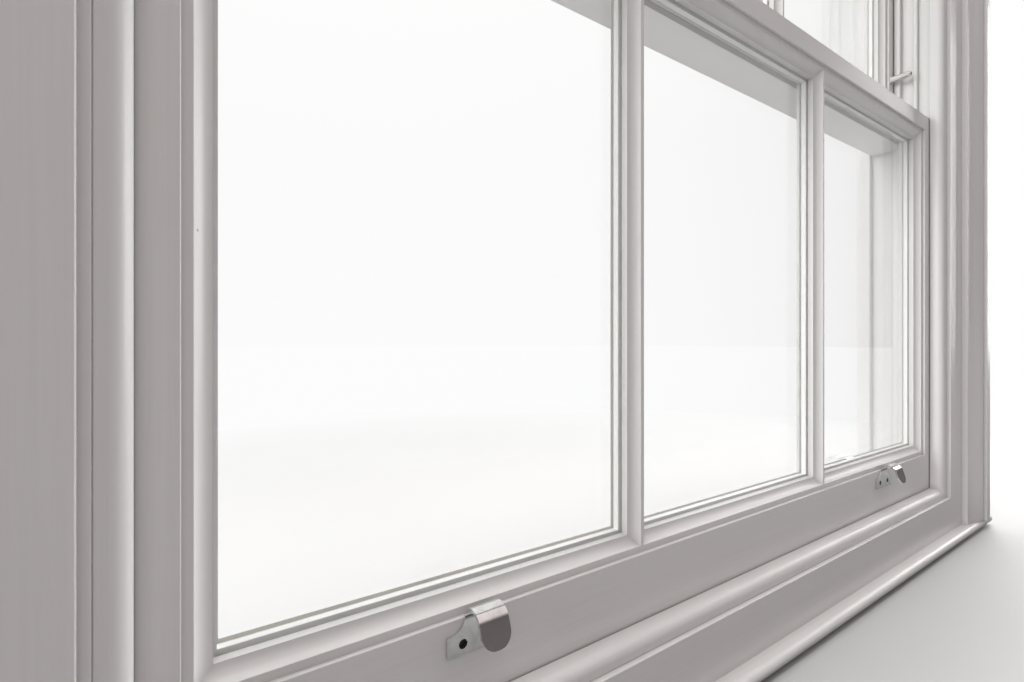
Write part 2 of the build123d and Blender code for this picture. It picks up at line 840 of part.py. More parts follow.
def hook_lift():
    """Right hook lift: a plate whose tongue bends over into a flared lip, all from one strip."""
    bend = lift_rise - lift_bend_radius
    flat = extrude(Plane.XZ * lift_plate(bend), amount=lift_thickness)
    side_plane = Plane(origin=(0, 0, 0), x_dir=(0, 1, 0), z_dir=(1, 0, 0))
    hook = extrude(side_plane * lift_hook(bend), amount=lift_tongue_width / 2, both=True)
    across_edges = hook.edges().sort_by(SortBy.LENGTH)[:4]
    hook = fillet(across_edges.sort_by(Axis.Z)[:2], lift_lip_corner)
    centre = lift_spacing / 2
    piece = Pos(centre, lower_face, lower_bottom + lift_base_height) * (flat + hook)
    for place in lift_screw_places(centre):
        piece = piece - screw(place, screw_clearance)
    return piece


def lift_screw_places(centre):
    """The heads of the two screws of one hook lift, on the face of its plate."""
    level = lower_bottom + lift_base_height + lift_screw_height
    half = lift_screw_spacing / 2
    return [(centre + side * half, lower_face - lift_thickness, level) for side in (-1, 1)]


def screw(place, extra):
    """Countersunk wood screw pointing outwards, or with extra size the hole that it fits."""
    head_r = screw_head_diameter / 2 + extra
    shank_r = screw_shank_diameter / 2 + extra
    depth = screw_head_depth
    head_cone = Pos(0, 0, -depth / 2) * Cone(shank_r, head_r, depth)
    shank = Pos(0, 0, -depth - (screw_length - depth) / 2) * Cylinder(shank_r, screw_length - depth)
    return Pos(*place) * Rot(90, 0, 0) * (head_cone + shank)


def driver_slot(place):
    """Straight slot across a screw head."""
    slot = Box(screw_head_diameter, 2 * driver_slot_depth, driver_slot_width)
    return Pos(*place) * Rot(0, driver_slot_turn, 0) * slot


def stop_place():
    """The middle of the right sash stop on the face of the upper sash."""
    return opening_half - stop_inset, upper_face, lower_top + stop_height


def sash_stop(extra):
    """Right sash stop: a peg with a collar, screwed into the upper sash."""
    x, y, z = stop_place()
    axis = Rot(90, 0, 0)
    peg = Cylinder(stop_diameter / 2, stop_length)
    peg = fillet(peg.edges().sort_by(Axis.Z)[-1], stop_end_round)
    peg = Pos(x, y - stop_length / 2, z) * axis * peg
    collar = Pos(x, y - stop_collar_thickness / 2, z) * axis
    collar = collar * Cylinder(stop_collar_diameter / 2, stop_collar_thickness)
    shank = Pos(x, y + stop_shank_length / 2, z) * axis
    shank = shank * Cylinder(stop_shank_diameter / 2 + extra, stop_shank_length + 2 * extra)
    socket = Pos(x, y - stop_length + stop_socket_depth / 2, z) * axis
    socket = socket * Cylinder(stop_socket_diameter / 2, stop_socket_depth)
    return peg + collar + shank - socket


def both_sides(solid):
    """A piece and its mirror image as one group."""
    return Compound(children=[solid_of(solid), solid_of(left_of(solid))])


def solid_of(shape):
    """The one solid of a shape."""
    return shape.solids()[0]


def group(shapes):
    """Separate solids of like pieces as one group."""
    return Compound(children=[piece for shape in shapes for piece in shape.solids()])


def frame_nodes():
    """Every fixed piece of the cased frame."""
    sill_piece = sill()
    stile = pulley_stile(sill_piece)
    inner = inner_lining_side()
    outer = outer_lining_side(sill_piece)
    back = back_lining(sill_piece)
    bead = parting_bead_side(sill_piece)
    staff, staff_top, staff_bottom = staff_beads()
    architrave, architrave_head = architraves()
    lining_low = inner_lining_across(board_top, lining_low_edge, lining_low_edge)
    lining_high = inner_lining_across(lining_high_edge, lining_top, lining_high_edge)
    cases = [pulley_case(track) for track in (lower_track, upper_track)]
    pins = [pulley_pin(track) for track in (lower_track, upper_track)]
    return {
        "sill": sill_piece,
        "window_board": window_board(),
        "head": head(),
        "pulley_stile_right": stile,
        "pulley_stile_left": left_of(stile),
        "pocket_pieces": both_sides(pocket_shape(pocket_gap)),
        "inner_lining_right": inner,
        "inner_lining_left": left_of(inner),
        "inner_lining_bottom": lining_low,
        "inner_lining_top": lining_high,
        "outer_lining_right": outer,
        "outer_lining_left": left_of(outer),
        "outer_lining_top": outer_lining_across(),
        "back_lining_right": back,
        "back_lining_left": left_of(back),
        "parting_slips": both_sides(parting_slip(0)),
        "parting_bead_right": bead,
        "parting_bead_left": left_of(bead),
        "parting_bead_top": parting_bead_head(),
        "staff_bead_right": staff,
        "staff_bead_left": left_of(staff),
        "staff_bead_top": staff_top,
        "staff_bead_bottom": staff_bottom,
        "architrave_right": architrave,
        "architrave_left": left_of(architrave),
        "architrave_top": architrave_head,
        "pulley_cases": group(cases + [left_of(case) for case in cases]),
        "pulley_pins": group(pins + [left_of(pin) for pin in pins]),
    }


def gear_nodes():
    """Wheels, cords and weights of both sashes."""
    nodes = {}
    lower_weight_top = pulley_height - lower_weight_drop
    upper_weight_top = sill_height + upper_weight_lift + upper_weight_length
    gear = {
        "lower": (lower_track, lower_top, lower_weight_top, lower_weight_length),
        "upper": (upper_track, upper_top, upper_weight_top, upper_weight_length),
    }
    for name, (track, sash_top, weight_top, length) in gear.items():
        knot_height = sash_top - cord_groove_length + knot_length
        pieces = {
            "pulley_wheel": pulley_wheel(track),
            "cord": cord(track, knot_height, weight_top),
            "weight": weight(track, weight_top, length),
        }
        for kind, piece in pieces.items():
            nodes[f"{kind}_{name}_right"] = piece
            nodes[f"{kind}_{name}_left"] = left_of(piece)
    return nodes


def lower_sash_nodes():
    """The lower sash with its glazing and hook lifts."""
    stile, rail, meeting, bars = make_sash(
        lower_face, lower_bottom, sash_height, bottom_rail_height, meeting_rail_height, bottom_tenon_margin)
    meeting = fillet(level_edge(meeting, lower_face, lower_top), arris_round) + meeting_strip(-1)
    screws = []
    for place in lift_screw_places(lift_spacing / 2):
        hole = screw(place, screw_clearance)
        rail = rail - hole - left_of(hole)
        fixed = screw(place, 0) - driver_slot(place)
        screws += [fixed, left_of(fixed)]
    sheets, spacers, putty = make_glazing(
        lower_face, lower_bottom, sash_height, bottom_rail_height, meeting_rail_height)
    lift = hook_lift()
    return {
        "lower_stile_right": stile,
        "lower_stile_left": left_of(stile),
        "lower_bottom_rail": rail,
        "lower_meeting_rail": meeting,
        "lower_glazing_bars": group(bars),
        "lower_glass": group(sheets),
        "lower_spacers": group(spacers),
        "lower_putty": group(putty),
        "hook_lift_right": lift,
        "hook_lift_left": left_of(lift),
        "lift_screws": group(screws),
    }


def upper_sash_nodes():
    """The upper sash with its glazing and sash stops."""
    stile, meeting, rail, bars = make_sash(
        upper_face, upper_bottom, upper_height, meeting_rail_height, top_rail_height, tenon_margin)
    meeting = meeting + meeting_strip(1)
    stop_hole = sash_stop(screw_clearance) & block(0, far, upper_face, far, 0, far)
    stile = stile - stop_hole
    sheets, spacers, putty = make_glazing(
        upper_face, upper_bottom, upper_height, meeting_rail_height, top_rail_height)
    return {
        "upper_stile_right": stile,
        "upper_stile_left": left_of(stile),
        "upper_top_rail": rail,
        "upper_meeting_rail": meeting,
        "upper_glazing_bars": group(bars),
        "upper_glass": group(sheets),
        "upper_spacers": group(spacers),
        "upper_putty": group(putty),
        "sash_stops": both_sides(sash_stop(0)),
    }


os.makedirs("parts", exist_ok=True)
nodes = {**frame_nodes(), **gear_nodes(), **lower_sash_nodes(), **upper_sash_nodes()}
for name, shape in nodes.items():
    export_step(shape, f"parts/{name}.step")
print(len(nodes), "nodes")
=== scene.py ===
import math

import bpy
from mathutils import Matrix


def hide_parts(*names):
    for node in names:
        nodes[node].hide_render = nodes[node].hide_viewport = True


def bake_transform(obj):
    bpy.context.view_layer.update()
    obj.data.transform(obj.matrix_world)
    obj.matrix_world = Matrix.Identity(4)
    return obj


# A double-hung sash window in its cased frame: paint, glass, metal, timber and sash cords
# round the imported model, with the camera, the lamps and a plain pale room.

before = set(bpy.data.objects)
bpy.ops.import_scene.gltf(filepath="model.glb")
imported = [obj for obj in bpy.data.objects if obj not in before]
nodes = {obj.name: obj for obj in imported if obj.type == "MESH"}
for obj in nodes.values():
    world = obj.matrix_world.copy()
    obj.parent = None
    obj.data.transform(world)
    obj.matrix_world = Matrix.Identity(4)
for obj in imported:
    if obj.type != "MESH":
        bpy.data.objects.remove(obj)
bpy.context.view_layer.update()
scene = bpy.context.scene

# Places in the part, in metres: the cords' upright lines, the wheels and the cords' knots
CORD_RADIUS = 0.003
CORD_LINE = 0.555
WHEEL_LINE = 0.5833
WEIGHT_LINE = 0.6116
WHEEL_HEIGHT = 1.176
WHEEL_PITCH = 0.0283
TRACKS = {"lower": -0.026, "upper": 0.026}
SASH_KNOTS = {"lower": 0.5513, "upper": 1.1157}
WEIGHT_KNOTS = {"lower": 1.079, "upper": 0.662}

# Depths of the spacer bars' middles, and how far from them the line of sealant begins and ends
SPACER_MIDDLES = (-0.0215, 0.0305)
SEALANT_BEGINS = (0.0024, 0.0026)
SEALANT_ENDS = (0.0028, 0.0029)

# Depths of the glass faces that the putty lies against, and how far from them it turns to paint
GLASS_BACKS = (-0.0145, 0.0375)
BARE_PUTTY_EDGE = (0.0003, 0.0007)

# The paint film: scales of its effects, the values where each begins and is full, how much
# each counts in the film's tone and height, and its relief in metres
BROAD_SCALE = 2.6
PEEL_SCALE = 640.0
SPECK_SCALE = 21.0
SPECK_EDGE = (0.012, 0.024)
TONE_SHARES = {"strokes": 0.45, "broad": 0.55}
TONE_CONTRAST = (0.36, 0.66)
SHEEN_CONTRAST = (0.3, 0.7)
SHEEN_SWING = 0.05
HEIGHT_SHARES = {"strokes": 0.7, "peel": 0.22, "specks": 0.5}
FILM_DEPTH = 0.00006

# Soft painted shade in the quirks and against the beads: how far from a corner it reaches, how open a
# place is where it is full and where it ends, and how much of it lies on the paint
PAINTED_SHADE_REACH = 0.011
PAINTED_SHADE_SAMPLES = 4
PAINTED_SHADE_OPENNESS = (0.35, 0.95)
PAINTED_SHADE_SHARE = 0.42
PAINTED_SHADE_TONE = (0.27, 0.245, 0.24, 1)

# Finger marks, and how much they and the scratches roughen a metal
SMEAR_EDGE = (0.42, 0.7)
SMEAR_ROUGHENS = 0.12
SCRATCH_ROUGHENS = 0.1
RUST_EDGE = (0.1, 0.9)

# Sawn timber: how much its rings and its pores count, and its contrast
RING_SHARE = 0.6
PORE_SHARE = 0.25
GRAIN_CONTRAST = (0.15, 0.85)

# The cord's plait: bands across the cord, two of them to each pitch, with some fuzz
PLAIT_PITCH = 0.0075
PLAIT_TURNS = 4
FUZZ_SHARE = 0.4
PLAIT_CONTRAST = (-0.3, 1.3)

# Tones of the finishes
WHITE = (1, 1, 1, 1)
PAINT_LIGHT = (0.81, 0.80, 0.795, 1)
PAINT_DEEP = (0.765, 0.752, 0.747, 1)
PAINT_SPECK = (0.45, 0.43, 0.41, 1)
PUTTY_PAINT = (0.78, 0.77, 0.745, 1)
BARE_PUTTY = (0.94, 0.915, 0.85, 1)
EARLY_WOOD = (0.62, 0.43, 0.24, 1)
LATE_WOOD = (0.36, 0.20, 0.09, 1)
GLASS_TINT = (0.995, 0.998, 0.996, 1)
GLASS_SHADE = (0.985, 0.99, 0.987, 1)
SPACER_LIGHT = (0.94, 0.938, 0.93, 1)
SPACER_DEEP = (0.91, 0.905, 0.9, 1)
SPACER_SPECK = (0.6, 0.58, 0.55, 1)
SEALANT = (0.6, 0.58, 0.575, 1)
CORD_DEEP = (0.77, 0.76, 0.735, 1)
CORD_LIGHT = (0.85, 0.845, 0.83, 1)
IRON = (0.06, 0.057, 0.055, 1)
RUST = (0.20, 0.075, 0.03, 1)
METAL_DIRT = (0.2, 0.18, 0.16, 1)
BRASS_DIRT = (0.13, 0.08, 0.04, 1)

# Kinds of sockets in the shared groups
VECTOR = "NodeSocketVector"
COLOUR = "NodeSocketColor"
NUMBER = "NodeSocketFloat"


# Small helpers for node trees

def add_node(tree, kind, settings=None, values=None):
    """A node with its settings and the values of its sockets."""
    node = tree.nodes.new(kind)
    for name, value in (settings or {}).items():
        setattr(node, name, value)
    for name, value in (values or {}).items():
        node.inputs[name].default_value = value
    return node


def join(tree, source, target):
    """Links one socket to another, or gives it a fixed number or colour."""
    if isinstance(source, (int, float, tuple)):
        target.default_value = source
    else:
        tree.links.new(source, target)


def new_group(name, inputs, outputs):
    """An empty shader group with its named sockets."""
    tree = bpy.data.node_groups.new(name, "ShaderNodeTree")
    for label, kind, value in inputs:
        socket = tree.interface.new_socket(label, in_out="INPUT", socket_type=kind)
        socket.default_value = value
    for label, kind in outputs:
        tree.interface.new_socket(label, in_out="OUTPUT", socket_type=kind)
    start = tree.nodes.new("NodeGroupInput")
    end = tree.nodes.new("NodeGroupOutput")
    return tree, start.outputs, end.inputs


def noise(tree, vector, scale, detail=3.0, roughness=0.5, distortion=0.0):
    """A noise texture read at a vector."""
    node = add_node(tree, "ShaderNodeTexNoise",
                    values={"Detail": detail, "Roughness": roughness, "Distortion": distortion})
    join(tree, vector, node.inputs["Vector"])
    join(tree, scale, node.inputs["Scale"])
    return node.outputs["Fac"]


def maths(tree, operation, first, second=0.0):
    """One step of arithmetic on sockets or numbers."""
    node = add_node(tree, "ShaderNodeMath", {"operation": operation})
    join(tree, first, node.inputs[0])
    join(tree, second, node.inputs[1])
    return node.outputs[0]


def weighted(tree, first, first_share, second, second_share):
    """The sum of two values, each times its share."""
    return maths(tree, "ADD", maths(tree, "MULTIPLY", first, first_share),
                 maths(tree, "MULTIPLY", second, second_share))


def stretch(tree, vector, factors):
    """A vector multiplied along each axis."""
    node = add_node(tree, "ShaderNodeVectorMath", {"operation": "MULTIPLY"})
    join(tree, vector, node.inputs[0])
    join(tree, factors, node.inputs[1])
    return node.outputs[0]


def split(tree, vector):
    """The three parts of a vector."""
    node = add_node(tree, "ShaderNodeSeparateXYZ")
    join(tree, vector, node.inputs[0])
    return node.outputs


def ramp(tree, value, low, high, first=0.0, last=1.0):
    """A value carried from one range to another, and held at its ends."""
    node = add_node(tree, "ShaderNodeMapRange",
                    values={"From Min": low, "From Max": high, "To Min": first, "To Max": last})
    join(tree, value, node.inputs["Value"])
    return node.outputs["Result"]


def mix(tree, kind, mask, values, places, result):
    """A mix node of one kind, which keeps its two values and its result at their own places."""
    node = add_node(tree, "ShaderNodeMix", {"data_type": kind})
    join(tree, mask, node.inputs[0])
    for value, place in zip(values, places):
        join(tree, value, node.inputs[place])
    return node.outputs[result]


def choose(tree, mask, first, second):
    """The first value where the mask is nought and the second where it is one."""
    return mix(tree, "FLOAT", mask, (first, second), (2, 3), 0)


def blend_colours(tree, mask, first, second):
    """The first colour where the mask is nought and the second where it is one."""
    return mix(tree, "RGBA", mask, (first, second), (6, 7), 2)


def mix_surface(tree, mask, shader, other):
    """Makes a material's surface of one shader where the mask is nought and another where it is one."""
    mixer = add_node(tree, "ShaderNodeMixShader")
    for place, source in enumerate((mask, shader.outputs[0], other.outputs[0])):
        join(tree, source, mixer.inputs[place])
    join(tree, mixer.outputs[0], tree.nodes["Material Output"].inputs["Surface"])


def distance_to(tree, place, depths):
    """How far a point lies from the nearer of two depths."""
    depth = split(tree, place)["Y"]
    offsets = [maths(tree, "ABSOLUTE", maths(tree, "SUBTRACT", depth, other)) for other in depths]
    return maths(tree, "MINIMUM", *offsets)


# Effects that several materials share

def brush_group():
    """Brush marks, slow changes of tone, a few specks and painted shade in the corners of a coat of paint.
    """
    tree, given, out = new_group(
        "brush_marks",
        [("Position", VECTOR, (0, 0, 0)), ("Stretch", VECTOR, (1, 1, 1)), ("Light Tone", COLOUR, WHITE),
         ("Deep Tone", COLOUR, WHITE), ("Speck Tone", COLOUR, WHITE), ("Speck Share", NUMBER, 0.1),
         ("Painted Shade", NUMBER, 0.0)],
        [("Color", COLOUR), ("Roughness", NUMBER), ("Height", NUMBER)])
    position = given["Position"]
    strokes = noise(tree, stretch(tree, position, given["Stretch"]), 1.0, 5.0, 0.6)
    broad = noise(tree, position, BROAD_SCALE, 2.0)
    peel = noise(tree, position, PEEL_SCALE, 2.0)
    tone = weighted(tree, strokes, TONE_SHARES["strokes"], broad, TONE_SHARES["broad"])
    mask = ramp(tree, tone, *TONE_CONTRAST)
    colour = blend_colours(tree, mask, given["Deep Tone"], given["Light Tone"])
    cells = add_node(tree, "ShaderNodeTexVoronoi", values={"Scale": SPECK_SCALE, "Randomness": 1.0})
    join(tree, position, cells.inputs["Vector"])
    near = ramp(tree, cells.outputs["Distance"], *SPECK_EDGE, 1.0, 0.0)
    shade = add_node(tree, "ShaderNodeSeparateColor")
    join(tree, cells.outputs["Color"], shade.inputs[0])
    chosen = maths(tree, "LESS_THAN", shade.outputs[0], given["Speck Share"])
    specks = maths(tree, "MULTIPLY", near, chosen)
    colour = blend_colours(tree, specks, colour, given["Speck Tone"])
    # Painted shade: the paint's colour is darkened where nearby surfaces hide a point from light
    corner = add_node(tree, "ShaderNodeAmbientOcclusion", {"samples": PAINTED_SHADE_SAMPLES},
                      {"Distance": PAINTED_SHADE_REACH})
    hidden = ramp(tree, corner.outputs["AO"], *PAINTED_SHADE_OPENNESS, 1.0, 0.0)
    painted_shade = maths(tree, "MULTIPLY", hidden, given["Painted Shade"])
    join(tree, blend_colours(tree, painted_shade, colour, PAINTED_SHADE_TONE), out["Color"])
    join(tree, ramp(tree, strokes, *SHEEN_CONTRAST, -SHEEN_SWING, SHEEN_SWING), out["Roughness"])
    height = weighted(tree, strokes, HEIGHT_SHARES["strokes"], peel, HEIGHT_SHARES["peel"])
    pits = maths(tree, "MULTIPLY", specks, HEIGHT_SHARES["specks"])
    join(tree, maths(tree, "SUBTRACT", height, pits), out["Height"])
    return tree


def smear_group():
    """Finger marks and fine scratches on metal and glass."""
    tree, given, out = new_group(
        "smears",
        [("Position", VECTOR, (0, 0, 0)), ("Stretch", VECTOR, (1, 1, 1)), ("Scale", NUMBER, 60.0)],
        [("Smear", NUMBER), ("Scratch", NUMBER)])
    position = given["Position"]
    cloud = noise(tree, position, given["Scale"], 4.0, 0.62, distortion=0.8)
    join(tree, ramp(tree, cloud, *SMEAR_EDGE), out["Smear"])
    drawn = stretch(tree, position, given["Stretch"])
    join(tree, noise(tree, drawn, 1.0, 3.0, 0.7), out["Scratch"])
    return tree


def grain_group():
    """Growth rings and pores of sawn softwood."""
    tree, given, out = new_group(
        "sawn_grain",
        [("Position", VECTOR, (0, 0, 0)), ("Stretch", VECTOR, (1, 1, 1)),
         ("Early Wood", COLOUR, WHITE), ("Late Wood", COLOUR, WHITE)],
        [("Color", COLOUR), ("Height", NUMBER)])
    drawn = stretch(tree, given["Position"], given["Stretch"])
    wander = noise(tree, drawn, 0.05, 2.0)
    rings = add_node(tree, "ShaderNodeTexWave", {"wave_type": "RINGS", "rings_direction": "Z"},
                     {"Scale": 0.11, "Distortion": 5.0, "Detail": 3.0, "Detail Scale": 1.4})
    join(tree, drawn, rings.inputs["Vector"])
    pores = noise(tree, drawn, 2.2, 4.0, 0.7)
    fine = maths(tree, "ADD", pores, wander)
    height = weighted(tree, rings.outputs["Fac"], RING_SHARE, fine, PORE_SHARE)
    mask = ramp(tree, height, *GRAIN_CONTRAST)
    join(tree, blend_colours(tree, mask, given["Early Wood"], given["Late Wood"]), out["Color"])
    join(tree, height, out["Height"])
    return tree


BRUSH = brush_group()
SMEARS = smear_group()
GRAIN = grain_group()


def new_material(name):
    """A material with its surface shader and the object's own coordinates."""
    material = bpy.data.materials.new(name)
    material.use_nodes = True
    tree = material.node_tree
    shader = tree.nodes["Principled BSDF"]
    place = add_node(tree, "ShaderNodeTexCoord").outputs["Object"]
    return material, tree, shader, place


def bump(tree, shader, height, depth):
    """Raises a height into the shader's normal."""
    node = add_node(tree, "ShaderNodeBump", values={"Distance": depth, "Strength": 1.0})
    join(tree, height, node.inputs["Height"])
    join(tree, node.outputs["Normal"], shader.inputs["Normal"])


def use_group(tree, group, place, values):
    """Places a shared effect in a material, with the values for it."""
    node = tree.nodes.new("ShaderNodeGroup")
    node.node_tree = group
    join(tree, place, node.inputs["Position"])
    for name, value in values.items():
        node.inputs[name].default_value = value
    return node.outputs


# How far the brush marks are drawn out on members that stand and on members that lie
UPRIGHT = (420.0, 420.0, 9.0)
LEVEL = (9.0, 420.0, 420.0)


def paint(name, strokes, light=PAINT_LIGHT, speck_share=0.05, rough=0.34):
    """White satin paint on timber, brushed along the member."""
    material, tree, shader, place = new_material(name)
    # The film darkens the paint with painted shade in its corners
    film = use_group(tree, BRUSH, place,
                     {"Stretch": strokes, "Light Tone": light, "Deep Tone": PAINT_DEEP,
                      "Speck Tone": PAINT_SPECK, "Speck Share": speck_share, "Painted Shade": PAINTED_SHADE_SHARE})
    join(tree, film["Color"], shader.inputs["Base Color"])
    join(tree, maths(tree, "ADD", film["Roughness"], rough), shader.inputs["Roughness"])
    bump(tree, shader, film["Height"], FILM_DEPTH)
    shader.inputs["Specular IOR Level"].default_value = 0.42
    return material


def glazing_putty():
    """Linseed putty: painted outside, and bare and creamy where it lies against the glass."""
    material = paint("painted_putty", (90.0, 90.0, 90.0), light=PUTTY_PAINT, speck_share=0.12, rough=0.42)
    tree = material.node_tree
    shader = tree.nodes["Principled BSDF"]
    coat = shader.inputs["Base Color"].links[0].from_socket
    place = add_node(tree, "ShaderNodeTexCoord").outputs["Object"]
    bare = ramp(tree, distance_to(tree, place, GLASS_BACKS), *BARE_PUTTY_EDGE, 1.0, 0.0)
    join(tree, blend_colours(tree, bare, coat, BARE_PUTTY), shader.inputs["Base Color"])
    return material


def sawn_timber():
    """Unpainted softwood inside the boxes."""
    material, tree, shader, place = new_material("sawn_timber")
    grain = use_group(tree, GRAIN, place,
                      {"Stretch": (160.0, 160.0, 7.0), "Early Wood": EARLY_WOOD, "Late Wood": LATE_WOOD})
    join(tree, grain["Color"], shader.inputs["Base Color"])
    shader.inputs["Roughness"].default_value = 0.72
    bump(tree, shader, grain["Height"], 0.0002)
    return material


def clear_glass():
    """Window glass with a trace of dust; it lets the lamps' light straight through."""
    material, tree, shader, place = new_material("window_glass")
    marks = use_group(tree, SMEARS, place, {"Scale": 9.0})
    shader.inputs["Base Color"].default_value = GLASS_TINT
    shader.inputs["Transmission Weight"].default_value = 1.0
    shader.inputs["IOR"].default_value = 1.45
    join(tree, ramp(tree, marks["Smear"], 0.0, 1.0, 0.0, 0.008), shader.inputs["Roughness"])
    path = add_node(tree, "ShaderNodeLightPath").outputs
    through = add_node(tree, "ShaderNodeBsdfTransparent", values={"Color": GLASS_SHADE})
    either = maths(tree, "MAXIMUM", path["Is Shadow Ray"], path["Is Diffuse Ray"])
    mix_surface(tree, either, shader, through)
    return material


def metal(name, colour, rough, strokes, depth=0.00002, dirt=METAL_DIRT, dirt_share=0.25, scale=70.0):
    """A plated, cast or turned metal with finger marks and fine scratches."""
    material, tree, shader, place = new_material(name)
    marks = use_group(tree, SMEARS, place, {"Scale": scale, "Stretch": strokes})
    soiled = maths(tree, "MULTIPLY", marks["Smear"], dirt_share)
    join(tree, blend_colours(tree, soiled, colour, dirt), shader.inputs["Base Color"])
    shader.inputs["Metallic"].default_value = 1.0
    spread = weighted(tree, marks["Smear"], SMEAR_ROUGHENS, marks["Scratch"], SCRATCH_ROUGHENS)
    join(tree, maths(tree, "ADD", spread, rough), shader.inputs["Roughness"])
    bump(tree, shader, marks["Scratch"], depth)
    return material


def spacer_bar():
    """White spacer bar between the sheets, with a thin line of grey sealant near each sheet."""
    material, tree, shader, place = new_material("spacer_bar")
    film = use_group(tree, BRUSH, place,
                     {"Stretch": (60.0, 60.0, 60.0), "Light Tone": SPACER_LIGHT, "Deep Tone": SPACER_DEEP,
                      "Speck Tone": SPACER_SPECK, "Speck Share": 0.1})
    offset = distance_to(tree, place, SPACER_MIDDLES)
    sealant = maths(tree, "MULTIPLY", ramp(tree, offset, *SEALANT_BEGINS),
                    ramp(tree, offset, *SEALANT_ENDS, 1.0, 0.0))
    join(tree, blend_colours(tree, sealant, film["Color"], SEALANT), shader.inputs["Base Color"])
    shader.inputs["Roughness"].default_value = 0.5
    bump(tree, shader, film["Height"], 0.0001)
    return material


def braided_cord():
    """Waxed cotton cord, banded by its plait along the cord's own map."""
    material, tree, shader, place = new_material("braided_cord")
    chart = split(tree, add_node(tree, "ShaderNodeUVMap", {"uv_map": "cord_map"}).outputs["UV"])
    turn = maths(tree, "MULTIPLY", chart["X"], 2 * math.pi * PLAIT_TURNS)
    length = maths(tree, "MULTIPLY", chart["Y"], 2 * math.pi / PLAIT_PITCH)
    rise = maths(tree, "SINE", maths(tree, "ADD", turn, length))
    fall = maths(tree, "SINE", maths(tree, "SUBTRACT", turn, length))
    fuzz = noise(tree, place, 900.0)
    height = weighted(tree, maths(tree, "MAXIMUM", rise, fall), 1.0, fuzz, FUZZ_SHARE)
    mask = ramp(tree, height, *PLAIT_CONTRAST)
    join(tree, blend_colours(tree, mask, CORD_DEEP, CORD_LIGHT), shader.inputs["Base Color"])
    shader.inputs["Roughness"].default_value = 0.78
    shader.inputs["Sheen Weight"].default_value = 0.2
    bump(tree, shader, height, 0.0003)
    return material


def rough_iron():
    """Sand-cast iron with patches of rust."""
    material, tree, shader, place = new_material("rough_iron")
    marks = use_group(tree, SMEARS, place, {"Scale": 32.0, "Stretch": (500.0, 500.0, 500.0)})
    rusty = ramp(tree, marks["Smear"], *RUST_EDGE)
    join(tree, blend_colours(tree, rusty, IRON, RUST), shader.inputs["Base Color"])
    join(tree, ramp(tree, marks["Smear"], 0.0, 1.0, 0.55, 0.85), shader.inputs["Roughness"])
    join(tree, ramp(tree, marks["Smear"], 0.0, 1.0, 0.6, 0.1), shader.inputs["Metallic"])
    bump(tree, shader, marks["Scratch"], 0.0006)
    return material


MATERIALS = {
    "upright": paint("paint_brushed_upright", UPRIGHT),
    "level": paint("paint_brushed_level", LEVEL),
    "putty": glazing_putty(),
    "timber": sawn_timber(),
    "glass": clear_glass(),
    "spacer": spacer_bar(),
    "chrome": metal("polished_chrome", (0.79, 0.785, 0.775, 1), rough=0.0,
                    strokes=(900.0, 60.0, 900.0), depth=0.000012),
    "screw": metal("black_screw", (0.035, 0.033, 0.032, 1), rough=0.3,
                   strokes=(700.0, 700.0, 700.0), depth=0.00004),
    "brass": metal("aged_brass", (0.58, 0.42, 0.19, 1), rough=0.28, strokes=(300.0, 40.0, 300.0),
                   depth=0.00004, dirt=BRASS_DIRT, dirt_share=0.6, scale=45.0),
    "steel": metal("plain_steel", (0.42, 0.42, 0.42, 1), rough=0.3, strokes=(200.0, 900.0, 200.0)),
    "iron": rough_iron(),
    "cord": braided_cord(),
}

# Painted members that lie; all other painted ones stand
LEVEL_NODES = ("sill", "window_board", "inner_lining_top", "inner_lining_bottom", "outer_lining_top",
               "parting_bead_top", "staff_bead_top", "staff_bead_bottom", "architrave_top",
               "lower_bottom_rail", "lower_meeting_rail", "upper_top_rail", "upper_meeting_rail")
SPECIAL_NODES = {
    "head": "timber", "back_lining_left": "timber", "back_lining_right": "timber",
    "parting_slips": "timber", "pulley_cases": "brass", "pulley_pins": "steel",
    "hook_lift_left": "chrome", "hook_lift_right": "chrome", "lift_screws": "screw",
    "sash_stops": "chrome",
}
SPECIAL_KINDS = {"glass": "glass", "spacers": "spacer", "putty": "putty", "pulley_wheel": "brass",
                 "weight": "iron", "cord": "cord"}


def finish_of(name):
    """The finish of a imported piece, by its name."""
    if name in SPECIAL_NODES:
        return SPECIAL_NODES[name]
    for kind, finish in SPECIAL_KINDS.items():
        if name.startswith(kind) or name.endswith(kind):
            return finish
    return "level" if name in LEVEL_NODES else "upright"


def dress(piece, finish):
    """Puts one finish on every slot of a piece."""
    if not piece.material_slots:
        piece.data.materials.append(MATERIALS[finish])
    for slot in piece.material_slots:
        slot.material = MATERIALS[finish]


for node_name, piece in nodes.items():
    dress(piece, finish_of(node_name))


# Sash cords, in two halves that each bend between the frame and what they hold.
# Angles on the wheel go from its top to the sash's side or to the weight's side.
TOP_ANGLE = 90
SASH_ANGLE = 0
WEIGHT_ANGLE = 180
ARC_COUNT = 7
STRAIGHT_SHARES = (0.6, 0.2, 0.0)


def cord_mesh(name, points):
    """A round cord on a smooth line."""
    curve = bpy.data.curves.new(name, "CURVE")
    curve.dimensions = "3D"
    spline = curve.splines.new("NURBS")
    spline.points.add(len(points) - 1)
    for point, place in zip(spline.points, points):
        point.co = (*place, 1.0)
    spline.order_u = 3
    spline.use_endpoint_u = True
    spline.resolution_u = 6
    curve.bevel_depth = CORD_RADIUS
    curve.bevel_resolution = 5
    curve.use_fill_caps = True
    holder = bpy.data.objects.new(name + "_line", curve)
    scene.collection.objects.link(holder)
    bpy.context.view_layer.update()
    mesh = bpy.data.meshes.new_from_object(holder.evaluated_get(bpy.context.evaluated_depsgraph_get()))
    bpy.data.objects.remove(holder)
    return mesh


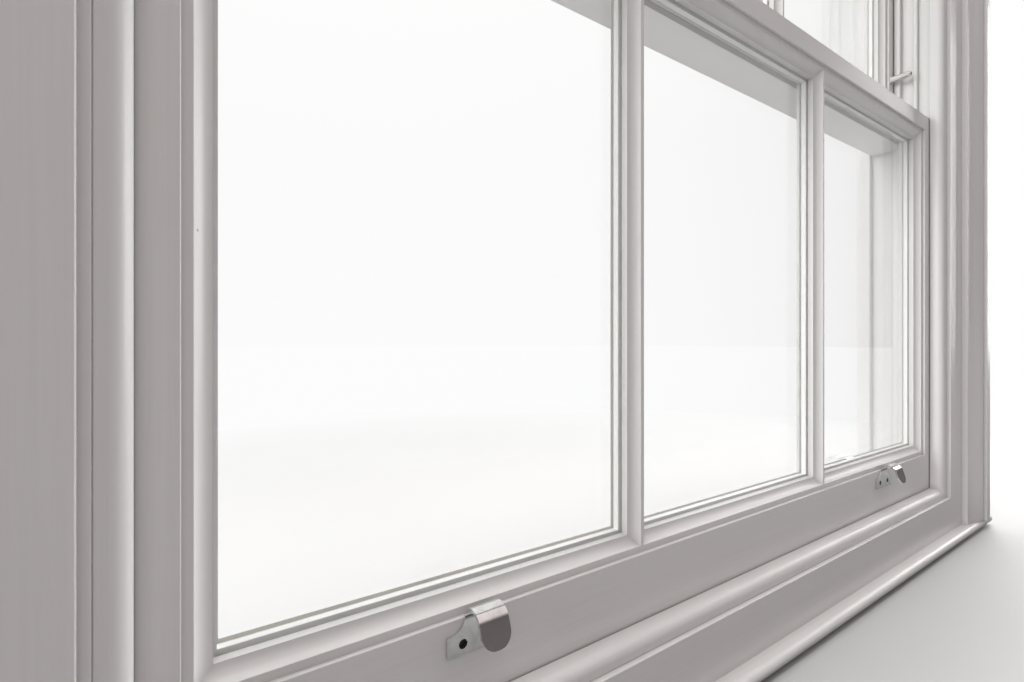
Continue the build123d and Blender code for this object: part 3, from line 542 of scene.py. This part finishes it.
def cord_route(side, track, line, last_angle, knot):
    """Control points of half a cord: over the wheel from its top, then straight down to the knot."""
    points = []
    for k in range(ARC_COUNT):
        angle = math.radians(TOP_ANGLE + (last_angle - TOP_ANGLE) * k / (ARC_COUNT - 1))
        x = WHEEL_LINE - WHEEL_PITCH * math.cos(angle)
        points.append((side * x, track, WHEEL_HEIGHT + WHEEL_PITCH * math.sin(angle)))
    for share in STRAIGHT_SHARES:
        points.append((side * line, track, knot + (WHEEL_HEIGHT - knot) * share))
    return points


def cord_piece(name, points):
    """One half of a cord: from the wheel down to what hangs on its end."""
    mesh = cord_mesh(name, points)
    piece = bpy.data.objects.new(name, mesh)
    scene.collection.objects.link(piece)
    # The map gives each corner its bearing from the window's middle, in turns, and its height
    chart = mesh.uv_layers.new(name="cord_map")
    for loop in mesh.loops:
        place = mesh.vertices[loop.vertex_index].co
        chart.data[loop.index].uv = (math.atan2(place.y, place.x) / (2 * math.pi), place.z)
    mesh.materials.clear()
    mesh.materials.append(MATERIALS["cord"])
    for face in mesh.polygons:
        face.use_smooth = True
    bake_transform(piece)
    return piece


for sash, track in TRACKS.items():
    for side, label in ((-1, "left"), (1, "right")):
        knot = SASH_KNOTS[sash]
        low = WEIGHT_KNOTS[sash]
        sash_route = cord_route(side, track, CORD_LINE, SASH_ANGLE, knot)
        weight_route = cord_route(side, track, WEIGHT_LINE, WEIGHT_ANGLE, low)
        pieces = [
            cord_piece(f"sash_cord_{sash}_{label}", sash_route),
            cord_piece(f"weight_cord_{sash}_{label}", weight_route),
        ]
        for piece in pieces:
            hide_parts(f"cord_{sash}_{label}")


# Camera at the photograph's place: close to the left side, level, turned towards the right
PICTURE_WIDTH = 1024
FOCAL_PIXELS = 520
SENSOR = 36.0
CAMERA_PLACE = (-0.5457, -0.3611, 0.340)
TURN = 35.245
camera_data = bpy.data.cameras.new("camera")
camera_data.sensor_width = SENSOR
camera_data.lens = FOCAL_PIXELS / PICTURE_WIDTH * SENSOR
camera_data.clip_start = 0.01
camera_data.clip_end = 60.0
camera = bpy.data.objects.new("camera", camera_data)
camera.location = CAMERA_PLACE
camera.rotation_euler = (math.radians(90), 0, math.radians(-TURN))
scene.collection.objects.link(camera)
scene.camera = camera


# A pale floor just below the part. It fades to plain white between two distances from the
# middle. For light that bounces off it, it is darker than it looks, and mirrors show it as a
# painted reflection that glows in tones of its own: painted shade, dark, outside the window, and
# lighter on the room's side.
FLOOR_SIZE = 60.0
FLOOR_HEIGHT = -0.0005
FLOOR_TONES = (0.53, 0.55)
FADE = (0.9, 2.0)
BOUNCE_TONE = 0.25
PAINTED_REFLECTION_EDGE = (-0.3, -0.12)
PAINTED_REFLECTION_TONES = (0.5, 0.06)


def seen_rays(tree):
    """Two masks: what the camera sees, also through glass, and what it sees in a mirror."""
    path = add_node(tree, "ShaderNodeLightPath").outputs
    direct = maths(tree, "MAXIMUM", path["Is Camera Ray"], path["Is Transmission Ray"])
    glossy = maths(tree, "SUBTRACT", path["Is Glossy Ray"], direct)
    return direct, maths(tree, "MAXIMUM", glossy, 0.0)


def pale_floor():
    """A pale floor that keeps the window's shadow and turns plain white further off."""
    material, tree, shader, place = new_material("pale_floor")
    direct, mirrored = seen_rays(tree)
    pale = ramp(tree, noise(tree, place, 1.5), 0.3, 0.7, *FLOOR_TONES)
    tone = choose(tree, direct, BOUNCE_TONE, pale)
    grey = add_node(tree, "ShaderNodeCombineColor")
    for channel in grey.inputs:
        join(tree, tone, channel)
    join(tree, grey.outputs[0], shader.inputs["Base Color"])
    shader.inputs["Roughness"].default_value = 0.8
    length = add_node(tree, "ShaderNodeVectorMath", {"operation": "LENGTH"})
    join(tree, place, length.inputs[0])
    far_off = maths(tree, "MULTIPLY", ramp(tree, length.outputs["Value"], *FADE), direct)
    # Painted reflection: in mirrors the floor glows, with painted shade near and outside the window
    painted_reflection_tone = ramp(tree, split(tree, place)["Y"], *PAINTED_REFLECTION_EDGE, *PAINTED_REFLECTION_TONES)
    white = add_node(tree, "ShaderNodeEmission", values={"Color": WHITE})
    join(tree, choose(tree, mirrored, 1.0, painted_reflection_tone), white.inputs["Strength"])
    mix_surface(tree, maths(tree, "MAXIMUM", far_off, mirrored), shader, white)
    return material


bpy.ops.mesh.primitive_plane_add(size=FLOOR_SIZE, location=(0, 0, 0))
floor = bpy.context.object
floor.name = "floor"
floor.data.materials.append(pale_floor())
for corner in floor.data.vertices:
    corner.co.z = FLOOR_HEIGHT


# Lamps that graze the window from both sides and from above, so that its mouldings stand out,
# and a weak one on the room's side: name, place, width and height, power and colour
MIDDLE = (0, 0, 0.6)
PLAIN_LIGHT = (1.0, 1.0, 1.0)
WARM_LIGHT = (1.0, 0.95, 0.94)
LAMPS = (
    ("daylight_right", (4.2, 0.3, 1.4), (2.8, 2.4), 155, PLAIN_LIGHT),
    ("daylight_left", (-4.2, 0.3, 1.4), (2.8, 2.4), 155, PLAIN_LIGHT),
    ("daylight_above", (0, 0.1, 4.6), (3.0, 2.2), 110, PLAIN_LIGHT),
    ("room_fill", (-1.4, -2.6, 1.3), (1.6, 1.6), 3, WARM_LIGHT),
)


def lamp(name, place, size, power, colour):
    """A soft rectangular lamp that faces the window's middle and is hidden from the camera."""
    data = bpy.data.lights.new(name, "AREA")
    data.shape = "RECTANGLE"
    data.size, data.size_y = size
    data.energy = power
    data.color = colour
    holder = bpy.data.objects.new(name, data)
    holder.location = place
    direction = [t - p for t, p in zip(MIDDLE, place)]
    yaw = math.atan2(direction[1], direction[0])
    flat = math.hypot(direction[0], direction[1])
    holder.rotation_euler = (math.atan2(flat, -direction[2]), 0, yaw - math.pi / 2)
    holder.visible_camera = False
    holder.visible_transmission = False
    scene.collection.objects.link(holder)


for values in LAMPS:
    lamp(*values)

# The world is dim and a little warm on the room's side, brightest just outwards of the
# window's own plane, and weaker straight out. The camera sees it plain white, and mirrors see
# a dim room with a pale ceiling. Each line gives the two limits and the light at each.
ROOM_TO_OUTSIDE = (-0.25, 0.2, 0.3, 2.2)
STRAIGHT_OUT = (0.15, 0.7, 1.0, 0.25)
MIRRORED_OUTSIDE = (-0.2, 0.3, 0.15, 1.1)
MIRRORED_CEILING = (0.3, 0.6, 0.0, 0.9)
WARMTH_ENDS = (-0.4, 0.3)
DIM_ROOM = (1.0, 0.9, 0.885, 1)

world = bpy.data.worlds.new("pale_room")
scene.world = world
world.use_nodes = True
sky = world.node_tree
heading = split(sky, add_node(sky, "ShaderNodeTexCoord").outputs["Generated"])
outwards = heading["Y"]
direct, mirrored = seen_rays(sky)
daylight = maths(sky, "MULTIPLY", ramp(sky, outwards, *ROOM_TO_OUTSIDE), ramp(sky, outwards, *STRAIGHT_OUT))
mirrored_light = maths(sky, "MAXIMUM", ramp(sky, outwards, *MIRRORED_OUTSIDE),
                       ramp(sky, heading["Z"], *MIRRORED_CEILING))
light = choose(sky, direct, choose(sky, mirrored, daylight, mirrored_light), 1.0)
plain = maths(sky, "MAXIMUM", ramp(sky, outwards, *WARMTH_ENDS), direct)
back = sky.nodes["Background"]
join(sky, blend_colours(sky, plain, DIM_ROOM, WHITE), back.inputs["Color"])
join(sky, light, back.inputs["Strength"])

scene.view_settings.view_transform = "Standard"
